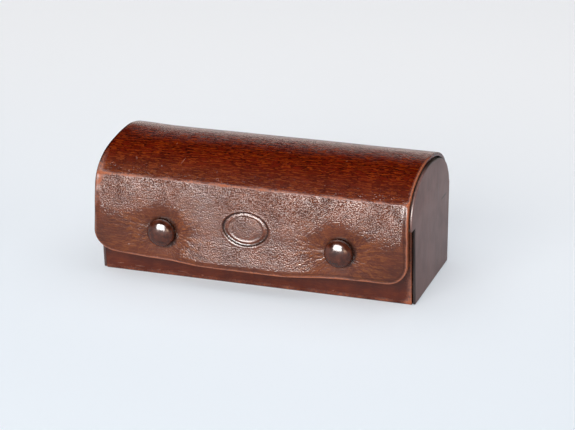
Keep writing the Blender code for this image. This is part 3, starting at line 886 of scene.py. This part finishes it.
def stoved_enamel():
    """Stoved brown enamel on a pressed cap: deep, glassy, with a little orange peel and dull rubbed spots."""
    material, node = new_material("enamel_stoved_brown")
    place = place_in_mm(node)
    peel = node("TexNoise", place, Scale=0.9, Detail=2.0)
    rub = node("TexNoise", place, Scale=0.35, Detail=5.0, Roughness=0.65)
    colour = two_tone(node, rub, 0.35, 0.7, "#38160a", "#5c2915")
    rough = node("MapRange", rub, 0.3, 0.75, 0.13, 0.28)
    bump = node("Bump", Strength=0.12, Distance=0.05 * MM, Height=peel)
    return finished(material, colour, rough, bump, IOR=1.52)


def drawn_brass():
    """Pressed and drawn brass, gone dull: warm yellow with brown tarnish in the hollows and fine marks."""
    material, node = new_material("brass_drawn_tarnished")
    place = place_in_mm(node)
    tarnish = node("TexNoise", place, Scale=0.7, Detail=5.0, Roughness=0.65)
    marks = node("TexNoise", place, Scale=5.0, Detail=2.0)
    colour = two_tone(node, tarnish, 0.35, 0.65, "#8d6a35", "#d3b272")
    rough = node("MapRange", tarnish, 0.3, 0.7, 0.48, 0.24)
    bump = node("Bump", Strength=0.15, Distance=0.03 * MM, Height=marks)
    return finished(material, colour, rough, bump, Metallic=1.0)


def grey_millboard():
    """Grey millboard, browned by old glue: pressed waste paper, matt, with light and dark fibres and a
    slightly fuzzy surface."""
    material, node = new_material("millboard_grey")
    drawn = node("Mapping", place_in_mm(node), Scale=(0.5, 2.2, 2.2))
    fibres = node("TexNoise", drawn, Scale=1.0, Detail=6.0, Roughness=0.7)
    colour = two_tone(node, fibres, 0.35, 0.65, "#453d35", "#6f665a")
    bump = node("Bump", Strength=0.5, Distance=0.06 * MM, Height=fibres)
    return finished(material, colour, 0.9, bump)


def cotton_velveteen():
    """Cotton velveteen lining, wine brown: a short dense nap that lies in soft light and dark strokes."""
    material, node = new_material("velveteen_wine_brown")
    place = place_in_mm(node)
    drawn = node("Mapping", place, Scale=(0.10, 0.035, 0.035))
    strokes = node("TexNoise", drawn, Scale=1.0, Detail=3.0, Roughness=0.55)
    nap = node("TexNoise", place, Scale=3.0, Detail=3.0, Roughness=0.7)
    mixed = node("Math MULTIPLY_ADD", nap, 0.5, strokes)
    colour = two_tone(node, mixed, 0.5, 1.0, "#391517", "#6b3233")
    bump = node("Bump", Strength=0.7, Distance=0.12 * MM, Height=nap)
    return finished(material, colour, 0.95, bump, Sheen_Weight=0.4, Sheen_Roughness=0.4)


def pale_paper():
    """White studio paper under the case, lit evenly, faintly cool towards the front, with a soft shadow."""
    material, node = new_material("studio_paper_white")
    depth = node("SeparateXYZ", node("TexCoord").outputs["Object"]).outputs["Y"]
    colour = two_tone(node, depth, -0.2, 0.4, "#e9f1f9", "#fafcff")
    ray = node("LightPath")
    seen = ray.outputs["Is Camera Ray"]
    paper = node("Mix RGBA", seen, linear("#c4cad2"), colour)
    shader = material.node_tree.nodes["Principled BSDF"]
    set_inputs(shader, {"Base Color": paper, "Roughness": 0.85, "Specular IOR Level": 0.2})
    evenly = node("Emission", colour, 1.12)
    mirrored = node("Math ADD", ray.outputs["Is Glossy Ray"], ray.outputs["Is Transmission Ray"])
    mirrored = node("Math MULTIPLY", mirrored, 0.2)
    share = node("Math MULTIPLY_ADD", seen, 0.35, mirrored, use_clamp=True)
    mixed = node("MixShader", share, shader, evenly)
    set_inputs(material.node_tree.nodes["Material Output"], {"Surface": mixed})
    return material


# Press studs: turned pieces and a ring spring, with rings of radius and height in mm


def stud_place(side):
    """Place of a press stud: its +Z points out of the front wall."""
    place = Vector((side * STUD_X, wall_y(STUD_HEIGHT), STUD_HEIGHT))
    return Matrix.Translation(place) @ Matrix.Rotation(math.pi / 2 + FRONT_LEAN, 4, "X")


def turned(name, rings, around=48, hollow=False):
    """A turned piece, drawn out ring by ring from a disc, or from a circle that comes back to its start."""
    deselect()
    radius, level = rings[0]
    bpy.ops.mesh.primitive_circle_add(vertices=around, radius=radius * MM, location=(0.0, 0.0, level * MM),
                                      fill_type="NOTHING" if hollow else "NGON")
    piece = bpy.context.object
    piece.name = name
    bpy.ops.object.transform_apply(location=True, rotation=True, scale=True)
    mode("EDIT")
    bpy.ops.mesh.select_all(action="SELECT")
    for (old, low), (new, high) in zip(rings, rings[1:]):
        bpy.ops.mesh.extrude_region_move(TRANSFORM_OT_translate={"value": (0.0, 0.0, (high - low) * MM)})
        share = new / old
        bpy.ops.transform.resize(value=(share, share, 1.0), center_override=(0.0, 0.0, high * MM))
    bpy.ops.mesh.select_all(action="SELECT")
    bpy.ops.mesh.remove_doubles(threshold=0.002 * MM)
    bpy.ops.mesh.normals_make_consistent(inside=False)
    mode("OBJECT")
    return piece


def fitted_copy(model, name, place):
    """A copy of a piece with its own mesh, put in its place."""
    piece = model.copy()
    piece.data = model.data.copy()
    piece.name = name
    bpy.context.scene.collection.objects.link(piece)
    piece.data.transform(place)
    return piece


def dome_rings(radius, foot, height, steps, tip):
    """Rings of a dome from its rim to a small tip."""
    turns = [math.pi / 2 * (1 - i / steps) for i in range(steps)]
    rings = [(radius * math.sin(turn), foot + height * math.cos(turn)) for turn in turns]
    return rings + [(tip, foot + height - 0.004)]


def cap_rings():
    rings = [(1.4, 4.2), (1.4, 5.75), (1.6, 5.98), (5.5, 6.0), (5.95, 6.05), (6.16, 6.2), (6.25, 6.5)]
    return rings + dome_rings(6.25, 6.9, 3.6, 20, 0.12)


def stud_rings():
    rings = [(1.5, 1.7), (1.5, 0.3), (4.85, 0.3), (5.0, 0.4), (5.0, 0.75), (4.85, 0.9), (2.5, 0.9)]
    rings += [(2.2, 1.0), (2.1, 1.2), (2.12, 1.65), (2.35, 2.05), (2.56, 2.4)]
    return rings + dome_rings(2.6, 2.72, 0.88, 10, 0.1)


def post_rings():
    head = [(3.6, -5.68), (4.3, -5.6), (4.5, -5.45), (4.5, -5.25), (4.3, -5.1), (1.35, -5.1)]
    return head + [(1.2, -4.95), (1.2, 1.3), (1.1, 1.4)]


def socket_rings():
    outer = [(3.5, 5.0), (3.5, 2.85), (3.65, 2.7), (5.2, 2.7), (5.4, 2.55), (5.4, 1.75), (5.25, 1.55)]
    mouth = [(4.9, 1.5), (3.3, 1.5), (3.0, 1.55), (2.9, 1.65), (2.9, 1.7)]
    groove = [(3.2, 1.72), (3.2, 2.48), (2.9, 2.5)]
    inside = [(2.9, 4.45), (1.75, 4.5), (1.7, 4.55), (1.7, 5.1), (3.4, 5.1), (3.5, 5.0)]
    return outer + mouth + groove + inside


def spring_ring():
    """Ring spring of round wire, with a gap, at its height in the socket."""
    deselect()
    wire_sides = 14
    half_gap = math.radians(17.5)
    bpy.ops.mesh.primitive_torus_add(major_segments=60, minor_segments=wire_sides,
                                     major_radius=2.75 * MM, minor_radius=0.3 * MM)
    piece = bpy.context.object
    piece.name = "ring_spring"
    bpy.ops.object.transform_apply(location=True, rotation=True, scale=True)
    mode("EDIT")
    bpy.ops.mesh.select_mode(type="FACE")
    bpy.ops.mesh.select_all(action="DESELECT")
    mode("OBJECT")
    for polygon in piece.data.polygons:
        polygon.select = abs(math.atan2(polygon.center.y, polygon.center.x)) < half_gap
    mode("EDIT")
    bpy.ops.mesh.delete(type="FACE")
    bpy.ops.mesh.select_all(action="SELECT")
    bpy.ops.mesh.fill_holes(sides=wire_sides)
    bpy.ops.mesh.normals_make_consistent(inside=False)
    mode("OBJECT")
    piece.data.transform(Matrix.Translation((0.0, 0.0, 2.1 * MM)))
    return piece


def make_press_studs(enamel, brass):
    cap = turned("cap_model", cap_rings(), around=64)
    stud = turned("stud_model", stud_rings())
    post = turned("post_model", post_rings())
    socket = turned("socket_model", socket_rings(), hollow=True)
    spring = spring_ring()
    press_stud = [
        ("cap", cap, "flap", "brown_enamel", enamel),
        ("socket", socket, "flap", "brass", brass),
        ("spring", spring, "flap", "brass", brass),
        ("stud", stud, "body", "brass", brass),
        ("stud_post", post, "body", "brass", brass),
    ]
    for kind, model, body, slot, material in press_stud:
        for side_name, way in SIDES:
            piece = fitted_copy(model, "press_" + kind + "_" + side_name, stud_place(way))
            smooth_shaded(piece, 35.0)
            give(piece, body, slot, [material], kind + "_" + side_name)
        bpy.data.objects.remove(model, do_unlink=True)


# End panels


def end_outline(wall_inset, arch_inset, foot_z, slack=0.0):
    """Tombstone outline of an end panel in Y and Z, with a shoulder over the front wall's top edge, and some
    slack under the back of the lid."""
    shoulder = FRONT_HEIGHT + 0.3 * MM
    points = [(wall_y(shoulder, wall_inset), shoulder), (wall_y(foot_z, wall_inset), foot_z)]
    points += [(BACK_Y - wall_inset, foot_z), (BACK_Y - wall_inset, HINGE_HEIGHT)]
    line = Section([arch_point(turn) for turn in np.linspace(0.0, math.pi, 240)])
    low_back = ease(line.points[:, 0], -12, 6) * ease(line.points[:, 1], 38, 46)
    inner = line.points + line.normals * (arch_inset + slack * low_back)[:, None]
    rows = np.linspace(0, len(inner) - 1, 64).round().astype(int)[1:-1]
    points += [tuple(inner[i]) for i in rows if inner[i][1] > shoulder]
    points += [(flap_y(z) + arch_inset / math.cos(FRONT_LEAN), z) for z in (FLAP_TOP, shoulder)]
    return points


def end_panel(name, outline, face, thickness, rim):
    """A panel cut to the tombstone outline, with its outer edge rounded over. face is the outer face's x."""
    deselect()
    bpy.ops.mesh.primitive_circle_add(vertices=len(outline), radius=1.0, fill_type="NGON")
    piece = bpy.context.object
    piece.name = name
    for point, (y, z) in zip(piece.data.vertices, outline):
        point.co = (face, y, z)
    inward = -math.copysign(thickness, face)
    mode("EDIT")
    bpy.ops.mesh.select_mode(type="EDGE")
    bpy.ops.mesh.select_all(action="SELECT")
    bpy.ops.mesh.extrude_region_move(TRANSFORM_OT_translate={"value": (inward, 0.0, 0.0)})
    bpy.ops.mesh.select_all(action="SELECT")
    bpy.ops.mesh.normals_make_consistent(inside=False)
    mode("OBJECT")
    for edge in piece.data.edges:
        edge.select = all(abs(piece.data.vertices[i].co.x - face) < 0.01 * MM for i in edge.vertices)
    mode("EDIT")
    bpy.ops.mesh.bevel(offset=rim, segments=4, profile=0.5, affect="EDGES")
    mode("OBJECT")
    smooth_shaded(piece)
    return piece


def make_end_covers(end_hide):
    """The two end covers, with rims painted dark with shade beside the walls and under the back of the lid.
    """
    for (side_name, way), under_lid in zip(SIDES, (LEATHER + LID_CLEARANCE, 1.5 * MM)):
        outline = end_outline(0.8 * MM, under_lid, 0.3 * MM, slack=0.8 * MM)
        panel = end_panel("end_cover_" + side_name, outline, way * END_FACE, END_LEATHER, COVER_RIM)
        places = np.array([point.co for point in panel.data.vertices])
        rim = np.abs(places[:, 0]) < END_FACE - 0.02 * MM
        shade_beside_wall = 1 - ease(places[:, 2] - FRONT_HEIGHT, 0, 1)
        dark = np.maximum(shade_beside_wall, ease(places[:, 1], -22, -8))
        # Painted shade on the rims, darker on the right cover
        paint(panel, "grime_and_shade", (0.75 + 0.17 * way) * rim * dark)
        give(panel, "body", "dark_end_leather", [end_hide], "end_leather_" + side_name)


# Linings


def cloth_waves(u, v, seed):
    """Slight unevenness of cloth pasted on board."""
    return 0.05 * MM * mottle(u, v, 9 * MM, seed) + 0.02 * MM * mottle(u, v, 3 * MM, seed + 4.0)


def pasted_lining(place, line, half, body, node, velveteen, seed):
    """A cloth lining pasted on its board. The line runs with the inside of the case on its left."""
    length = line.along[-1]
    columns = edge_steps(half, LINING_EDGE, 2.2 * MM)
    rows = LINING_EDGE + stretches(LINING_EDGE[-1], (length - LINING_EDGE[-1], 1.6 * MM))[1:]
    rows += [length - step for step in reversed(LINING_EDGE[:-1])]

    def form(u, v):
        return u, *line.at(v, cloth_waves(u, v, seed))

    def same_half(v):
        return np.full_like(v, half)

    piece = formed_sheet(place + "_lining_cloth", columns, rows, same_half, form, LINING, LINING_RIM,
                         backed=False)
    give(piece, body, "lining_cloth", [velveteen], node + "_lining")


def flap_lining_half(w):
    """Half width of the flap's lining, which has round lower corners too. w runs down from the crease."""
    corner = FLAP_CORNER - FLAP_LINING_SETBACK
    drop = np.clip((w - FLAP_LINING_FOOT + corner) / corner, 0.0, 1.0)
    return LID_INNER_HALF - corner * (1 - np.sqrt(1 - drop * drop))


def form_flap_lining(u, w):
    lift = flap_bulge(u, -w) + crease_fold(u, -w) - cloth_waves(u, w, 31.0)
    y, z = STRIP.at(-w, lift - FLAP_LINING_DEPTH)
    return flap_hang(u, -w, y, z)


def line_flap(velveteen):
    columns = edge_steps(LID_INNER_HALF, LINING_EDGE, 2.2 * MM)
    rows = stretches(FLAP_LINING_SETBACK, (FLAP_LINING_FOOT - 8 * MM, 1.2 * MM),
                     (FLAP_LINING_FOOT - 2 * MM, 0.6 * MM))
    rows += [FLAP_LINING_FOOT - step * MM for step in (1.5, 1.1, 0.7, 0.4, 0.2, 0.08, 0.0)]
    piece = formed_sheet("flap_lining_cloth", columns, rows, flap_lining_half, form_flap_lining, LINING,
                         LINING_RIM, backed=False)
    give(piece, "flap", "lining_cloth", [velveteen], "flap_lining")


def line_ends(velveteen):
    outline = end_outline(LINING_INSET, LEATHER + LID_CLEARANCE + TOP_SETBACK, LINING_INSET)
    for side_name, way in SIDES:
        piece = end_panel("end_lining_cloth_" + side_name, outline, way * END_INNER_FACE, -LINING, LINING_RIM)
        give(piece, "body", "lining_cloth", [velveteen], "end_lining_" + side_name)


def line_case(velveteen):
    """Velveteen on the floor, the walls, the ends, the lid and the flap."""
    foot = LINING_INSET
    face = LINING_INSET + LINING
    floor = [(wall_y(face, face + GLUE), face), (BACK_Y - face - GLUE, face)]
    front = [(wall_y(z, face), z) for z in (FRONT_HEIGHT - TOP_SETBACK, foot)]
    back = [(BACK_Y - face, z) for z in (foot, HINGE_HEIGHT - GLUE - TOP_SETBACK)]
    y, z = STRIP.points.T
    high_front = (y < ARCH_PEAK_Y) & (z > CREASE_HEIGHT + LID_BOARD_SETBACK)
    high_back = (y >= ARCH_PEAK_Y) & (z > HINGE_HEIGHT + LID_BOARD_SETBACK)
    lid_rows = (STRIP.along > 0) & (STRIP.along < BACK_FOLD) & (high_front | high_back)
    lid_path = STRIP.points[lid_rows] - STRIP.normals[lid_rows] * LID_LINING_DEPTH
    box_half = END_INNER_FACE - GLUE
    pasted_lining("floor", Section(floor), box_half, "body", "bottom", velveteen, 21.0)
    pasted_lining("front", Section(front), box_half, "body", "front", velveteen, 22.0)
    pasted_lining("back", Section(back), box_half, "body", "back", velveteen, 23.0)
    pasted_lining("lid", Section(lid_path[::-1]), LID_INNER_HALF, "lid", "lid", velveteen, 24.0)
    line_ends(velveteen)
    line_flap(velveteen)


# Camera, floor and light


def look_through_camera():
    turn, rise = math.radians(PHOTO_TURN), math.radians(PHOTO_RISE)
    back = Vector((math.sin(turn) * math.cos(rise), -math.cos(turn) * math.cos(rise), math.sin(rise)))
    right = Vector((math.cos(turn), math.sin(turn), 0.0))
    up = back.cross(right)
    place = back * PHOTO_DISTANCE + right * PHOTO_SHIFT[0] + up * PHOTO_SHIFT[1]
    deselect()
    bpy.ops.object.camera_add(location=place)
    camera = bpy.context.object
    camera.matrix_world = Matrix.Translation(place) @ Matrix((right, up, back)).transposed().to_4x4()
    camera.data.sensor_width = SENSOR
    camera.data.lens = PHOTO_FOCAL * SENSOR / PHOTO_WIDTH
    camera.data.clip_start = 0.05
    bpy.context.scene.camera = camera


def soft_lamp(name, place, target, width, height, power, colour, hidden):
    """A rectangular lamp that is left out of one kind of light: diffuse or glossy."""
    deselect()
    bpy.ops.object.light_add(type="AREA", location=place)
    lamp = bpy.context.object
    lamp.name = name
    lamp.rotation_euler = (Vector(target) - Vector(place)).to_track_quat("-Z", "Y").to_euler()
    lamp.data.shape = "RECTANGLE"
    lamp.data.size = width
    lamp.data.size_y = height
    lamp.data.energy = power
    lamp.data.color = linear(colour)[:3]
    setattr(lamp, "visible_" + hidden, False)


def studio():
    """Pale floor, a bright low horizon with a darker ceiling, and soft lamps."""
    deselect()
    bpy.ops.mesh.primitive_circle_add(vertices=96, radius=3.0, fill_type="NGON")
    floor = bpy.context.object
    floor.name = "studio_floor"
    floor.data.materials.append(pale_paper())

    world = bpy.data.worlds.new("studio_sky")
    bpy.context.scene.world = world
    world.use_nodes = True
    node = functools.partial(add, world.node_tree)
    way = node("SeparateXYZ", node("TexCoord").outputs["Generated"])
    low = node("MapRange", way.outputs["Z"], 0.06, 0.24, 0.95, 0.0, **SMOOTH)
    front = node("MapRange", way.outputs["Y"], -0.2, -0.85, 0.0, 0.07, **SMOOTH)
    level = node("Math MAXIMUM", low, front)
    set_inputs(world.node_tree.nodes["Background"], {"Color": linear("#f4f4f4"), "Strength": level})

    # A bright window, a warm card and a low sky behind are for the highlights alone
    case = (0.0, 0.0, 0.03)
    soft_lamp("front_key", (-0.2, -1.4, 0.62), case, 1.0, 0.85, 16.0, "#fffaf4", "glossy")
    soft_lamp("ceiling_fill", (0.0, 0.2, 1.8), (0.0, 0.2, 0.0), 3.0, 3.0, 34.0, "#fdfdff", "glossy")
    soft_lamp("front_window", (-0.14, -1.18, 0.52), case, 1.0, 0.85, 108.0, "#fcfbf9", "diffuse")
    soft_lamp("right_fill", (1.1, -0.35, 0.6), case, 0.6, 0.6, 1.6, "#fdf8f6", "glossy")
    soft_lamp("warm_card", (0.74, -1.04, 0.2), case, 0.4, 0.35, 4.0, "#ffd9b8", "diffuse")
    soft_lamp("low_sky_behind", (0.0, 1.6, 0.07), case, 3.0, 0.14, 1.6, "#ffe6d0", "diffuse")


# Making the case


bpy.context.scene.view_settings.view_transform = "Standard"
look_through_camera()
studio()

wall_scuffs = [(u, FRONT_FOOT / MM + v, *shape) for u, v, *shape in WALL_SCUFFS]
leather = [glazed_cowhide(LID_SCUFFS + wall_scuffs), leather_flesh(), leather_cut()]
make_strip(leather)
make_flap(leather)
make_end_covers(end_panel_leather())
make_press_studs(stoved_enamel(), drawn_brass())
board = grey_millboard()
for place in ("bottom_board", "front_board", "back_board", "end_board_left", "end_board_right", "lid_board"):
    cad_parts[place].data.materials.clear()
    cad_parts[place].data.materials.append(board)
line_case(cotton_velveteen())
